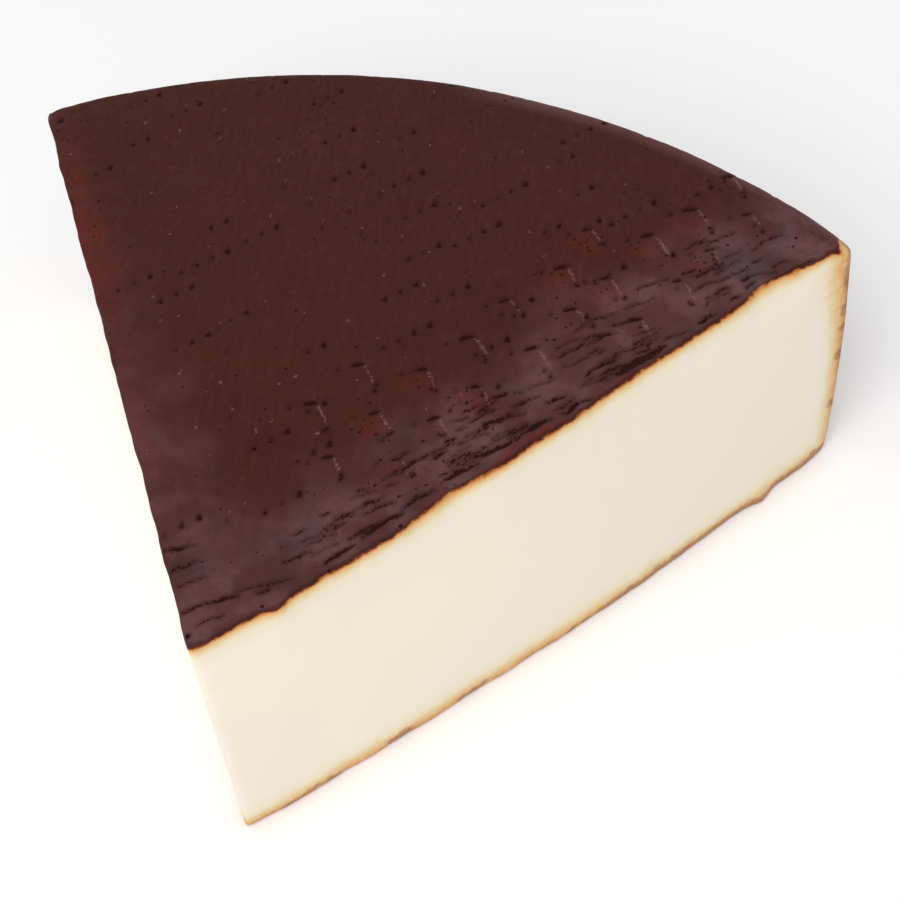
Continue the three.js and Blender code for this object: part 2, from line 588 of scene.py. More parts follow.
def edge_lines(form, along, level, side):
    """Small outward moves of a cut's top and bottom lines: slow noise and fine noise, and the lumps and
    notches of the right cut. They fade with the distance from the line."""
    near_top = np.exp(-(((1 - level) * form.height / 5) ** 2))
    near_base = np.exp(-((level * form.height / 4) ** 2))
    along_only = np.stack([along, np.full_like(along, side * 40.0)], -1)
    top_line = 0.35 * rough(along_only, 13, 11) + 0.05 * noise(along_only, 2.2, 12)
    base_line = 0.3 * rough(along_only, 11, 13) + 0.12 * noise(along_only, 2.5, 14)
    if side > 0:
        top_line += lumps(along, TOP_LINE_LUMPS)
        base_line += lumps(along, BASE_LINE_LUMPS)
    return top_line * near_top + base_line * near_base


def outlined(distance, half_width):
    """A field that is 0.5 on a mark's outline, rises by 0.5 for each mm inwards, and is never below 0."""
    return np.clip(0.5 + (half_width - distance) / 2, 0, 1)


def stamp(field, points, place, reach, mark):
    """Raises a field near one place: each point within `reach` of it along X and Y takes the greater of its
    own value and the value that the mark has at its offset from the place."""
    near = np.nonzero(np.abs(points[:, :2] - place).max(axis=1) < reach)[0]
    if len(near):
        field[near] = np.maximum(field[near], mark(points[near, :2] - place))


def net_axes(offsets):
    """Distances across the net's pull and along it, by turning the plan by the pull's lean."""
    across = offsets[:, 0] * NET_COS + offsets[:, 1] * NET_SIN
    away = offsets[:, 1] * NET_COS - offsets[:, 0] * NET_SIN
    return across, away


def dent(offsets, half_width):
    """The field of a knot's dent: its distance is the greatest of the distances across three slanted sides,
    which makes a triangle with a corner away from the tip, rounded by adding some of the true distance."""
    across, away = net_axes(offsets)
    sides = np.maximum(-0.75 * away, 0.35 * away + 1.2 * np.abs(across))
    return outlined(0.7 * sides + 0.3 * np.hypot(across, away), half_width)


def stroke(offsets, lean, length, bend, half_width):
    """The field of a groove that runs from its place along `lean` and is bent by a parabola. Its width
    grows and shrinks along it as an ellipse does, and beyond its ends the distance to the end counts too."""
    along = offsets[:, 0] * math.cos(lean) + offsets[:, 1] * math.sin(lean)
    across = offsets[:, 1] * math.cos(lean) - offsets[:, 0] * math.sin(lean)
    inside = np.clip(along, 0, length)
    across = across - bend * inside * (length - inside)
    share = inside / length
    width = half_width * np.sqrt(4 * share * (1 - share))
    return outlined(np.hypot(across, along - inside), width)


def net_marks(points, seed):
    """Fields of the dents that a net's knots left, and of pale specks that are painted highlights on the
    dents' far rims.

    The knots are a slanted lattice. For each point the nearest knots are found by undoing the lattice. Each
    has a faint dent, drawn out away from the tip, and at the far end of the luckiest ones' dents is a pale
    speck, a painted highlight where light would catch the dent's far rim."""
    lattice = np.stack([NET_STEP, NET_ROW], axis=1)
    weak = np.zeros(len(points))
    highlight_specks = np.zeros(len(points))
    plain = points[:, :2] + 0.5 * np.stack([noise(points, 30, seed), noise(points, 30, seed + 1)], -1)
    home = plain @ np.linalg.inv(lattice).T
    for offset in np.ndindex(3, 3):
        knot = np.floor(home) + np.array(offset) - 1
        jitter = np.stack([scrambled(knot, seed + 2), scrambled(knot, seed + 3)], -1) - 0.5
        local = plain - (knot @ lattice.T + 0.9 * jitter)
        across, away = net_axes(local)
        luck = scrambled(knot, seed + 4)
        force = 0.4 + 0.6 * luck
        weak = np.maximum(weak, force * np.exp(-((across / 0.6) ** 2) - (away / 1.3) ** 2))
        near = np.hypot(across, (away - 2.0) / 1.6)
        # Painted highlight: a pale speck at the far end of a dent, where light would catch its far rim.
        highlight_specks = np.maximum(highlight_specks, np.where(luck > 0.84, outlined(near, 0.8 * luck - 0.52), 0))
    return weak, highlight_specks


def lattice_places(start, grid, home):
    """The places of a lattice of runs in plan: the start, and from it whole numbers of steps and of rows."""
    for m, n in np.ndindex(grid):
        yield start + (m - home[0]) * RUN_STEP + (n - home[1]) * RUN_ROW


def pressed_runs(points, seed):
    """The field of the knots that pressed hard: short runs of dents one net step apart, whose heads lie
    near the places of a lattice. The first dent of a run is the largest, and only RUN_SHARE of the heads
    have a run."""
    source = np.random.default_rng(seed)
    field = np.zeros(len(points))
    for place in lattice_places(RUN_START, RUN_GRID, RUN_HOME):
        head = place + 1.3 * source.normal(size=2)
        luck = source.random(2 + RUN_LENGTH)
        if luck[0] > RUN_SHARE:
            continue
        for k in range(2 + round(luck[1] * (RUN_LENGTH - 2))):
            place = head - k * NET_STEP
            half_width = (0.52 if k == 0 else 0.18 + 0.24 * luck[2 + k]) * (0.8 + 0.25 * luck[1])
            stamp(field, points, place, 3, lambda offsets: dent(offsets, half_width))
    return field


def tears(form, points):
    """Fields of what the net tore where it pulled hardest, in a band beside the right cut: the tears, the
    pale scratch that each ends in, and how close the crumbs lie round it.

    The tears lie near the places of a lattice. Each is a short ragged stroke with a pit before it, and the
    scratch runs from its end towards the right cut, to two more pits."""
    source = np.random.default_rng(3)
    torn, scratched, crumbs = (np.zeros(len(points)) for _ in range(3))
    for place in lattice_places(TEAR_START, TEAR_GRID, TEAR_HOME):
        place = place + 0.8 * source.normal(size=2)
        luck = source.random(9)
        along, inwards = form.along_and_in(place[None], 1)
        strength = smooth_step(inwards[0], 9, 16) * (1 - smooth_step(inwards[0], 36, 43))
        if strength * smooth_step(along[0], 30, 50) < 0.3 + 0.35 * luck[0]:
            continue
        size = 0.7 + 0.5 * luck[1]
        lean = math.radians(20 + 24 * luck[2])
        stamp(torn, points, place, 8, lambda o: stroke(o, lean, 2.8 * size, 0.09, 0.42 * size))
        stamp(torn, points, place + (-2.2, -1.6), 3, lambda o: dent(o, 0.24 * size))
        end = place + 2.4 * size * np.array([math.cos(lean), math.sin(lean)])
        fall = math.radians(-43 - 12 * luck[3])
        reach = 4.2 + 3 * luck[4]
        stamp(scratched, points, end, 10, lambda o: stroke(o, fall, reach, 0.02, 0.26 * size))
        foot = end + reach * np.array([math.cos(fall), math.sin(fall)])
        for k in (5, 7):
            spot = foot + (2.6 * luck[k] - 1.6, 2.2 * luck[k + 1] - 1.6)
            stamp(torn, points, spot, 3, lambda o: dent(o, 0.22 + 0.14 * luck[k]))
        middle = (place + foot) / 2 + (-1.0, -1.6)
        share = smooth_step(luck[6], 0.2, 0.9)
        stamp(crumbs, points, middle, 9, lambda o: share * np.exp(-((o / (3.8, 3.2)) ** 2).sum(axis=1)))
    return torn, scratched, crumbs


def cut_strokes(form, points):
    """The field of the short grooves beside the right cut, where the drying rind wrinkled: bent strokes
    nearly along the cut, in groups, fewer with distance in from it, and some longer and thicker ones at the
    lip."""
    source = np.random.default_rng(17)
    field = np.zeros(len(points))
    shaken = points[:, :2] + 0.5 * np.stack([noise(points, 2.2, 53), noise(points, 2.2, 54)], -1)
    for k in range(STROKES):
        luck = source.random(7)
        if k % GROUP_EVERY == 0:
            group = 30 + 115 * luck[6]
        along = group + 16 * (luck[0] - 0.5)
        if k % LIP_EVERY == 0:
            inwards = 1.3 + 2.0 * luck[1]
            length = 4 + 6 * luck[2]
            half_width = 0.16 + 0.3 * luck[3]
            off_cut = -2 + 8 * luck[4]
        else:
            inwards = 3 + (5 + 0.1 * along) * luck[1] ** 1.2
            length = 2 + 6 * luck[2] ** 1.5
            half_width = 0.02 + 0.28 * luck[3] ** 2
            off_cut = 20 * luck[4]
        lean = RIGHT_CUT_LEAN - math.radians(off_cut)
        bend = 0.006 + 0.035 * luck[5]
        place = form.beside_right_cut(along, inwards)
        stamp(field, shaken, place, length + 2, lambda o: stroke(o, lean, length, bend, half_width))
    return field


def tip_creases(points):
    """The field of the long creases across the tip, where the rind buckled."""
    field = np.zeros(len(points))
    shaken = points[:, :2] + 0.55 * np.stack([noise(points, 2.6, 51), noise(points, 2.6, 52)], -1)
    for x, y, lean, length, bend, half_width in TIP_CREASES:
        turned = math.radians(lean)
        stamp(field, shaken, (x, y), length + 3, lambda o: stroke(o, turned, length, bend, half_width))
    return field


def top_relief(form, points):
    """Height of the top face's relief in mm, and its masks: soot with painted shade, which is over 0.5 inside
    a mark, wear with painted highlights, which is over 0.5 in a scratch or a pale speck, and crumbs, the
    share of the rind that is crumbled.

    Broad waves and a leathery grain carry the net's dents, the tears and grooves beside the right cut, the
    creases across the tip and the crumbled edge. The rind stands up a little beside each groove."""
    _, right_in = form.along_and_in(points, 1)
    _, left_in = form.along_and_in(points, -1)
    nearest = np.minimum(right_in, left_in)
    broad = 0.28 * noise(points, 55, 1) + 0.16 * noise(points, 21, 2)
    leather = 0.07 * noise(points, 6, 3) + 0.05 * noise(points, 2.2, 4)
    weak, highlight_specks = net_marks(points, 21)
    weak *= 0.3 + 0.7 * smooth_step(noise(points, 24, 5), -0.4, 0.4)
    beside = 1 - smooth_step(right_in, 6, 20)
    runs = pressed_runs(points, 6) * smooth_step(right_in, 8, 16)
    torn, scratched, crumbs = tears(form, points)
    grooves = np.maximum(cut_strokes(form, points), tip_creases(points))
    moved = points - RAISED_BESIDE
    raised = np.maximum(cut_strokes(form, moved), tip_creases(moved))
    # Soot and painted shade: the marks are darkened both for smoke held in them and for shade that they are
    # too shallow to cast.
    soot_and_shade = np.maximum.reduce([runs, torn, grooves, 0.49 * weak * (1 - 0.6 * beside)])
    ragged = 0.5 + 0.5 * noise(points, (1.7, 1.7, 1), 9)
    crumble = (1 - smooth_step(nearest, 0.4, 1.2 + 3 * ragged)) * ragged
    lumpy = (1 - smooth_step(nearest, 4, 24)) * noise(points, 3.4, 10)
    height = broad + leather + 0.14 * lumpy - 0.12 * weak - 0.22 * crumble
    height -= form.pit_depth * smooth_step(soot_and_shade, 0.25, 0.75)
    height += 0.16 * smooth_step(raised, 0.3, 0.6)
    # Wear: the pale scratches, and the pale specks, which are painted highlights.
    wear_and_highlights = np.maximum(scratched, highlight_specks * (1 - beside))
    return height, soot_and_shade, wear_and_highlights, crumbs


def side_relief(form, points):
    """Height of the round side's relief and its masks, as for the top: cloth folds and the net's marks,
    worked out on the unrolled side."""
    turn = np.arctan2(points[:, 0], points[:, 1] - form.axis_y)
    unrolled = np.stack([turn * form.radius, points[:, 2], np.full_like(turn, 7.0)], -1)
    weak, highlight_specks = net_marks(unrolled, 61)
    runs = pressed_runs(unrolled, 62)
    height = 0.25 * noise(unrolled, (30, 22, 9), 14) + 0.12 * noise(unrolled, (9, 4, 9), 15)
    height += 0.05 * noise(unrolled, 2.6, 16) - 0.12 * weak - 0.35 * smooth_step(runs, 0.25, 0.75)
    # On the side too, the soot mask holds painted shade in the dents and the wear mask holds the painted
    # highlights of the specks.
    return height, np.maximum(0.42 * weak, runs), highlight_specks, np.zeros(len(points))


def relief(form, points, normals, on_cut):
    """How far each point moves out along its normal in mm, and the soot with painted shade, the wear with
    painted highlights, and the crumbs there.

    The top's and the side's own reliefs blend over the shoulder by which way the surface faces. The cuts
    have only faint drag waves, and the underside the grain of the shelf."""
    up = smooth_step(normals[:, 2], 0.55, 0.95)
    down = smooth_step(-normals[:, 2], 0.55, 0.95)
    upright = 1 - up - down
    flat = points * (1, 1, 0)
    top = top_relief(form, flat)
    side = side_relief(form, points)
    cut = 0.05 * noise(points, (14, 14, 9), 17) + 0.02 * noise(points, (5, 5, 2.5), 18)
    base = 0.1 * noise(flat, 9, 19) - 0.1
    rind = upright * (1 - on_cut)
    move, soot_and_shade, wear_and_highlights, crumbs = (up * a + rind * b for a, b in zip(top, side))
    return move + upright * on_cut * cut + down * base, soot_and_shade, wear_and_highlights, crumbs


def cut_columns(form, count_top, bands):
    """For each point of the top and of the rings below it, 1 where its column belongs to a cut and else 0.
    `bands` gives each band of rings as the step between its columns and its number of rings."""
    i, j = rim_indices(form.rows)
    on_cut = ((j == 0) | (i == 0)).astype(float)
    return np.concatenate([np.zeros(count_top), *(np.tile(on_cut[::step], rings) for step, rings in bands)])


def paste_depth(form, points, on_cut):
    """How deep each point lies in the paste, as mm below the top rind, and less than nought on the rind.

    On a cut it is the distance to the nearest of the top, the side and the underside, measured round their
    shoulders. The smoke went further in from the side and from underneath, so there a parabola of the
    distance stands for it, which is lower near the top of the side. On the rind it is the distance to the
    nearest cut, negative. Over the left cut the rind hangs down a little, and at the far corner of the
    right cut it is worn off."""
    distance = np.hypot(points[:, 0], points[:, 1] - form.axis_y)
    _, right_in = form.along_and_in(points, 1)
    _, left_in = form.along_and_in(points, -1)
    overhang = np.where(points[:, 0] < 0, 1.3 + 0.6 * noise(points, 14, 81), 0.0)
    overhang *= smooth_step(-points[:, 0], 0, 2)
    from_top = form.height - points[:, 2] - overhang
    from_side = form.radius - distance
    from_base = points[:, 2]
    growth = 1 - 0.7 * smooth_step(points[:, 2], 30, 60)
    by_side = 0.35 + 0.15 * growth + growth * (0.02 * from_side + 0.1 * from_side**2)
    by_base = 0.45 + 0.04 * from_base + 0.08 * from_base**2 - 0.4 * np.exp(-from_base / 0.3)
    inside = joined(joined(from_top, by_side, form.top_shoulder), by_base, form.base_shoulder / 3)
    nearest = np.minimum(right_in, left_in) - 0.5
    depth = np.where(on_cut > 0.5, inside, -np.maximum(nearest, 0) - overhang)
    from_corner = np.hypot(from_side, np.maximum(right_in, 0)) + 0.8 * noise(points, 2.5, 84)
    near_top = smooth_step(points[:, 2], form.height - 12, form.height - 4)
    worn_off = 0.25 + 0.35 * near_top * (WORN_CORNER - from_corner)
    return np.where(from_corner < WORN_CORNER, np.maximum(depth, worn_off), depth)


def stain_mask(form, points):
    """1 where the smoke of the round side or of the underside has stained the paste brown. It falls as a bell
    of the distance from each, in patches, and lies all along the bottom edge of the outer half."""
    turn = np.abs(np.arctan2(points[:, 0], points[:, 1] - form.axis_y))
    distance = np.hypot(points[:, 0], points[:, 1] - form.axis_y)
    along = distance * np.cos(form.half - turn)
    patches = smooth_step(noise(points, (6, 6, 4), 82) + 0.5 * noise(points, 2, 83), -0.05, 0.5)
    high_patches = smooth_step(patches + points[:, 2] / form.height, 0.3, 1.2)
    at_side = hump(distance, form.radius, 2.6) * high_patches
    at_base = hump(points[:, 2], 0, 3.4) * (0.4 + 0.6 * patches)
    dark_base = hump(points[:, 2], 0, 2.8) * smooth_step(along, 60, 105)
    return np.maximum.reduce([at_side, at_base, dark_base])


def joined(first, second, radius):
    """The lesser of two distances, rounded where both are under `radius`: the radius less the distance to
    the point that is `radius` from both."""
    near = (first < radius) & (second < radius)
    corner = radius - np.hypot(radius - first, radius - second)
    return np.where(near, corner, np.minimum(first, second))


def bloom_and_sheen_mask(form, points):
    """1 where the rind is greyer, partly with a bloom where it dried and partly with a painted sheen: beside
    both cuts, widest at the tip, in patches, and round the far half of the rim, where it is painted sheen."""
    right_along, right_in = form.along_and_in(points, 1)
    left_along, left_in = form.along_and_in(points, -1)
    bloom_and_sheen = 1 - smooth_step(right_in + 6 * noise(points, 14, 71) - right_along / 20, 3, 26)
    # Painted light: the grey bloom grows towards the far end of the right cut, where the rind is lit more.
    bloom_and_sheen *= 0.81 + 0.15 * smooth_step(right_along, 60, 110)
    left_bloom_and_sheen = 1 - smooth_step(left_in + left_along / 8 + 4 * noise(points, 11, 75), 5, 28)
    left_bloom_and_sheen *= 0.68 - 0.33 * smooth_step(left_along, 40, 100)
    bloom_and_sheen = np.maximum(bloom_and_sheen, left_bloom_and_sheen)
    bloom_and_sheen *= 0.4 + 0.6 * smooth_step(rough(points, 9, 72), -0.5, 0.5)
    from_axis = np.hypot(points[:, 0], points[:, 1] - form.axis_y)
    # Painted sheen: the rind is lighter round the far half of the rim, most towards the right cut, as grazing
    # light on the shoulder makes it.
    rim = smooth_step(from_axis, form.radius - 7, form.radius - 2)
    return np.maximum(bloom_and_sheen, 0.85 * rim * smooth_step(left_in - right_in, -10, 30))


def red_mask(form, points, crumbs):
    """1 where the smoke was thin and the rind is redder: along two stretches of the left cut, in stretches
    of the right cut's lip, and where it is crumbled."""
    right_along, right_in = form.along_and_in(points, 1)
    left_along, left_in = form.along_and_in(points, -1)
    red = (1 - smooth_step(left_in + 2 * noise(points, 8, 73), 1, 9)) * hump(left_along, 112, 34)
    red = np.maximum(red, (1 - smooth_step(left_in, 1, 6)) * 0.5 * hump(left_along, 55, 18))
    at_lip = (1 - smooth_step(right_in, 0.9, 2.2)) * smooth_step(right_along, 30, 60)
    red = np.maximum(red, at_lip * smooth_step(noise(points, 13, 74), 0.05, 0.35))
    return np.maximum(red, 0.75 * crumbs * smooth_step(right_along, 10, 70))


def warm_mask(form, points, on_cut):
    """1 where the paste is yellower: in one large soft spot of the right cut, and in weak clouds."""
    along, _ = form.along_and_in(points, 1)
    spot = hump(along, 46, 20) * hump(points[:, 2], 40, 15) * on_cut * (points[:, 0] > 0)
    return np.maximum(spot, 0.6 * on_cut * smooth_step(noise(points, 34, 85), 0.1, 0.7))


def crumb_mask(form, points, crumbs):
    """The share of small pits: the tears' own, more of them in patches by the right cut's lip, and a few
    all over the rind."""
    along, inwards = form.along_and_in(points, 1)
    near_lip = (1 - smooth_step(inwards, 5, 15)) * smooth_step(noise(points, 10, 87), -0.2, 0.4)
    near_lip *= 0.35 * smooth_step(along, 15, 45)
    return np.maximum.reduce([crumbs, near_lip, 0.1 * smooth_step(noise(points, 8, 78), -0.3, 0.5)])


def wedge_surface(form):
    """The finished surface: its points in mm, its triangles and its masks.

    The masks are worked out on the swollen form with its relief, apart from the paste's depth and stains,
    which follow the plain form. The flank mask is 1 on the round side and the underside."""
    points, faces = wedge_grid(form)
    upper, lower = side_levels(form)
    on_cut = cut_columns(form, (form.rows + 1) ** 2, [(1, len(upper) - 1), (2, len(lower) - 1)])
    on_cut = np.concatenate([on_cut, np.zeros(len(points) - len(on_cut))])
    masks = {
        "paste_depth": paste_depth(form, points, on_cut),
        "stain": stain_mask(form, points),
    }
    points = swollen(form, soften_tip(form, soften_corners(form, points)))
    normals = point_normals(points, faces)
    move, soot_and_shade, wear_and_highlights, crumbs = relief(form, points, normals, on_cut)
    points = points + normals * move[:, None]
    points[:, 2] = np.clip(points[:, 2], 0, form.height + 0.2)

    flank = smooth_step(form.height - points[:, 2] + 1.5 * noise(points, 9, 86), 1.5, 8)
    masks |= {
        "soot_and_shade": soot_and_shade,
        "wear_and_highlights": wear_and_highlights,
        "bloom_and_sheen": bloom_and_sheen_mask(form, points) * (1 - flank),
        "redness": red_mask(form, points, crumbs) * (1 - flank),
        "crumbs": crumb_mask(form, points, crumbs),
        "warm": warm_mask(form, points, on_cut),
        "flank": flank,
    }
    return points, faces, masks


# ---------------------------------------------------------------------------------------------------------
# Material
# ---------------------------------------------------------------------------------------------------------


def add_node(tree, kind, settings, output=0):
    """Adds a node and gives one of its outputs, if it has any. A setting with the name or the number of an
    input is linked to it if it is another node's output, and else is its value. Any other setting is the
    node's own."""
    node = tree.nodes.new(kind)
    for key, value in settings.items():
        if isinstance(key, str) and key not in node.inputs:
            setattr(node, key, value)
        elif isinstance(value, bpy.types.NodeSocket):
            tree.links.new(value, node.inputs[key])
        else:
            node.inputs[key].default_value = value
    return node.outputs[output] if len(node.outputs) else None


MATHS = "ShaderNodeMath"
RANGE = "ShaderNodeMapRange"
MIX = "ShaderNodeMix"
NOISE = "ShaderNodeTexNoise"
MAPPING = "ShaderNodeMapping"
# Inputs of a Map Range node.
FROM_LOW, FROM_HIGH, TO_LOW, TO_HIGH = "From Min", "From Max", "To Min", "To Max"
# Inputs and the output of a Mix node that mixes colours.
SHARE, UNDER, OVER, MIXED = 0, 6, 7, 2


# The attributes of the wedge's points that the material reads.
MASKS = ("paste_depth", "stain", "soot_and_shade", "wear_and_highlights", "bloom_and_sheen", "redness", "crumbs", "warm", "flank")
# Colours that the rind's and the paste's own colours are mottled with.
TINTS = {
    name: (*linear(hex_colour), 1)
    for name, hex_colour in {
        "dark_rind": "#411C15",
        "golden_rind": "#84502D",
        "drawn_streak": "#56302A",
        "fine_speck": "#2E100A",
        "blue_sheen": "#4E4045",
        # Painted highlight: bluish patches in the greyish haze beside the cuts.
        "scratch_and_highlight": "#94716D",
        # Pale scratches, and the pale specks, which are painted highlights.
        "dark_edge": "#2C0C07",
        # Soot with painted shade, softer, round the marks.
        "dull_soot_and_shade": "#32100A",
        "yellow_paste": "#F0EACD",
        "stain": "#8F5844",
    }.items()
}
# Colours of the paste by its depth in mm below the rind, where the smoke went in. The last is its own colour.
SMOKE_LINE = [
    (0.0, "#4A1D10"),
    (0.14, "#84401F"),
    (0.34, "#C4854C"),
    (0.65, "#D8A468"),
    (1.05, "#DEB884"),
    (1.5, "#E0C494"),
    (2.0, "#E3CEA5"),
    (2.5, "#E5D5B1"),
    (3.3, "#E8DDC4"),
    (4.6, "#E9DFCB"),
    (7.0, None),
]


def layered(tree, under, layers):
    """A colour with other colours mixed over it in turn, each given as its share and its colour."""
    for share, over in layers:
        under = add_node(tree, MIX, {"data_type": "RGBA", SHARE: share, UNDER: under, OVER: over}, MIXED)
    return under


def sharpened(tree, field, ragged, half_range, amount):
    """A mask with a crisp, ragged outline where a soft field passes 0.5: fine noise is added to the field
    before a steep rise."""
    noise_less_half = add_node(tree, MATHS, {"operation": "SUBTRACT", 0: ragged, 1: 0.5})
    added = add_node(tree, MATHS, {"operation": "MULTIPLY", 0: noise_less_half, 1: amount})
    field = add_node(tree, MATHS, {"operation": "ADD", 0: field, 1: added})
    rise = {FROM_LOW: 0.5 - half_range, FROM_HIGH: 0.5 + half_range, "interpolation_type": "SMOOTHSTEP"}
    return add_node(tree, RANGE, {"Value": field, **rise})


def small_pits(tree, place, mask):
    """Pits from 0.4 to 0.9 mm wide: in each 1.3 mm cell of a random mesh there is one at the cell's own
    point if the cell's random number is under the mask. Noise moves the place first, so the pits are
    ragged."""
    scaled = add_node(tree, MAPPING, {"Scale": (1 / (0.8 * MM),) * 3, "Vector": place})
    random = add_node(tree, NOISE, {"Scale": 1.0, "Vector": scaled}, "Color")
    moved = {"operation": "MULTIPLY_ADD", 0: random, 1: (0.9 * MM,) * 3, 2: place}
    moved = add_node(tree, "ShaderNodeVectorMath", moved)
    scaled = add_node(tree, MAPPING, {"Scale": (1 / (1.3 * MM),) * 3, "Vector": moved})
    distance = add_node(tree, "ShaderNodeTexVoronoi", {"Scale": 1.0, "Vector": scaled}, "Distance")
    luck = add_node(tree, "ShaderNodeSeparateColor", {"Color": distance.node.outputs["Color"]}, "Red")
    chosen = add_node(tree, MATHS, {"operation": "LESS_THAN", 0: luck, 1: mask})
    width = add_node(tree, RANGE, {"Value": luck.node.outputs["Green"], TO_LOW: 0.16, TO_HIGH: 0.36})
    from_middle = add_node(tree, MATHS, {"operation": "DIVIDE", 0: distance, 1: width})
    inside = {"Value": from_middle, FROM_LOW: 0.6, FROM_HIGH: 1.1, TO_LOW: 1, TO_HIGH: 0}
    inside = add_node(tree, RANGE, {**inside, "interpolation_type": "SMOOTHSTEP"})
    return add_node(tree, MATHS, {"operation": "MULTIPLY", 0: inside, 1: chosen})


# How much of each noise or mask shows in the rind: where it starts and where it is full, and its share there.
RIND_SHARES = {
    "cloud": ("cloud", 0.3, 0.7, 0, 1),
    "mottle": ("patch", 0.35, 0.7, 0, 1),
    "drawn_streak": ("streak", 0.5, 0.75, 0, 0.3),
    "fine_speck": ("speck", 0.45, 0.8, 0, 0.3),
    # The blue patches and the greyish bloom are partly painted sheen and highlights.
    "blue_sheen": ("blue", 0.52, 0.66, 0, 0.8),
    "bloom_and_sheen": ("speck", 0.25, 0.65, 0.6, 1),
    "redness": ("speck", 0.4, 0.62, 0.1, 0.8),
    "edge": ("flank", 0, 1, 1, 0.3),
    # Soot with painted shade, softer, round the marks.
    "dull_soot_and_shade": ("soot_and_shade", 0.12, 0.5, 0, 0.55),
}


def rind_colour(tree, deep, masks, colours, grains):
    """Chocolate brown with faint clouds, or a mottled golden brown on the flank, with drawn streaks and
    specks, then haze that is partly a painted sheen, red, wear with painted highlights, a dark edge, and soot
    with painted shade over it. Gives the colour and the hollows that the soot and the painted shade lie in."""
    share = {}
    for name, (field, start, full, low, high) in RIND_SHARES.items():
        ends = {FROM_LOW: start, FROM_HIGH: full, TO_LOW: low, TO_HIGH: high}
        share[name] = add_node(tree, RANGE, {"Value": {**masks, **grains}[field], **ends})
    for name in ("bloom_and_sheen", "redness"):
        share[name] = add_node(tree, MATHS, {"operation": "MULTIPLY", 0: masks[name], 1: share[name]})
    near_cut = {FROM_LOW: -1.2, FROM_HIGH: -0.1, TO_HIGH: 0.6, "interpolation_type": "SMOOTHSTEP"}
    near_cut = add_node(tree, RANGE, {"Value": deep, **near_cut})
    edge = add_node(tree, MATHS, {"operation": "MULTIPLY", 0: near_cut, 1: share["edge"]})
    flank = add_node(tree, MATHS, {"operation": "MULTIPLY", 0: masks["flank"], 1: 0.85})
    # Wear with painted highlights: the pale scratches and the pale specks.
    wear_and_highlights = sharpened(tree, masks["wear_and_highlights"], grains["fine"], 0.06, 0.8)
    wear_and_highlights = add_node(tree, MATHS, {"operation": "MULTIPLY", 0: wear_and_highlights, 1: 0.34})
    # Soot and painted shade: the marks and the small pits are darkened towards the hollow colour.
    soot_and_shade = sharpened(tree, masks["soot_and_shade"], grains["fine"], 0.05, 0.6)
    hollows = add_node(tree, MATHS, {"operation": "MAXIMUM", 0: soot_and_shade, 1: grains["pit"]})
    soot_and_shade = add_node(tree, MATHS, {"operation": "MULTIPLY", 0: hollows, 1: 0.92})

    top = layered(tree, TINTS["dark_rind"], [(share["cloud"], (*colours.rind, 1))])
    side = layered(tree, (*colours.side, 1), [(share["mottle"], TINTS["golden_rind"])])
    # Painted sheen: the grey haze, with bluish painted highlights in it, goes where the bloom mask is.
    haze_and_sheen = layered(tree, (*colours.haze_and_sheen, 1), [(share["blue_sheen"], TINTS["blue_sheen"])])
    layers = [
        (flank, side),
        (share["drawn_streak"], TINTS["drawn_streak"]),
        (share["fine_speck"], TINTS["fine_speck"]),
        (share["bloom_and_sheen"], haze_and_sheen),
        (share["redness"], (*colours.flush, 1)),
        (wear_and_highlights, TINTS["scratch_and_highlight"]),
        (edge, TINTS["dark_edge"]),
        (share["dull_soot_and_shade"], TINTS["dull_soot_and_shade"]),
        (soot_and_shade, (*colours.hollow_soot_and_shade, 1)),
    ]
    return layered(tree, top, layers), hollows


def paste_colour(tree, deep, masks, colours, grains):
    """Cream white, yellower in clouds, that turns yellow, orange and red brown towards the rind, with
    stains at the outer edges."""
    longest = SMOKE_LINE[-1][0]
    noise_less_part = add_node(tree, MATHS, {"operation": "SUBTRACT", 0: grains["patch"], 1: 0.4})
    streak = add_node(tree, MATHS, {"operation": "MULTIPLY", 0: noise_less_part, 1: 3.6})
    inwards = {FROM_LOW: 0.3, FROM_HIGH: 3, TO_LOW: 0.05, TO_HIGH: 1}
    inwards = add_node(tree, RANGE, {"Value": masks["paste_depth"], **inwards})
    streak = add_node(tree, MATHS, {"operation": "MULTIPLY", 0: streak, 1: inwards})
    streaked = add_node(tree, MATHS, {"operation": "ADD", 0: deep, 1: streak})
    streaked = add_node(tree, RANGE, {"Value": streaked, FROM_LOW: 0, FROM_HIGH: longest})
    smoked = add_node(tree, "ShaderNodeValToRGB", {"Fac": streaked}, "Color")
    line = smoked.node.color_ramp.elements
    for k, (at, colour) in enumerate(SMOKE_LINE):
        stop = line[k] if k < 2 else line.new(at / longest)
        stop.position = at / longest
        stop.color = (*(linear(colour) if colour else colours.paste), 1)

    warm = add_node(tree, MATHS, {"operation": "MULTIPLY", 0: masks["warm"], 1: 0.6})
    near_rind = {FROM_LOW: 3, FROM_HIGH: 7, TO_LOW: 1, TO_HIGH: 0}
    near_rind = add_node(tree, RANGE, {"Value": masks["paste_depth"], **near_rind})
    stain = sharpened(tree, masks["stain"], grains["speck"], 0.22, 0.7)
    stain = add_node(tree, MATHS, {"operation": "MULTIPLY", 0: stain, 1: 0.62})
    layers = [(warm, TINTS["yellow_paste"]), (near_rind, smoked), (stain, TINTS["stain"])]
    return layered(tree, smoked, layers)


# Noises on the piece: the size of their bumps in mm along each axis, detail and roughness. The streaks lie
# along the net's pull.
GRAINS = {
    "cloud": ((18, 18, 18), 3, 0.5),
    "blue": ((10, 10, 10), 2, 0.5),
    "patch": ((5, 5, 5), 3, 0.6),
    "speck": ((1.1, 1.1, 1.1), 3, 0.6),
    "fine": ((0.6, 0.6, 0.6), 2, 0.6),
    "streak": ((1.3, 1.3 / 0.28, 1.3), 2, 0.5),
    "wobble": ((2.6, 2.6, 2.6), 4, 0.65),
}


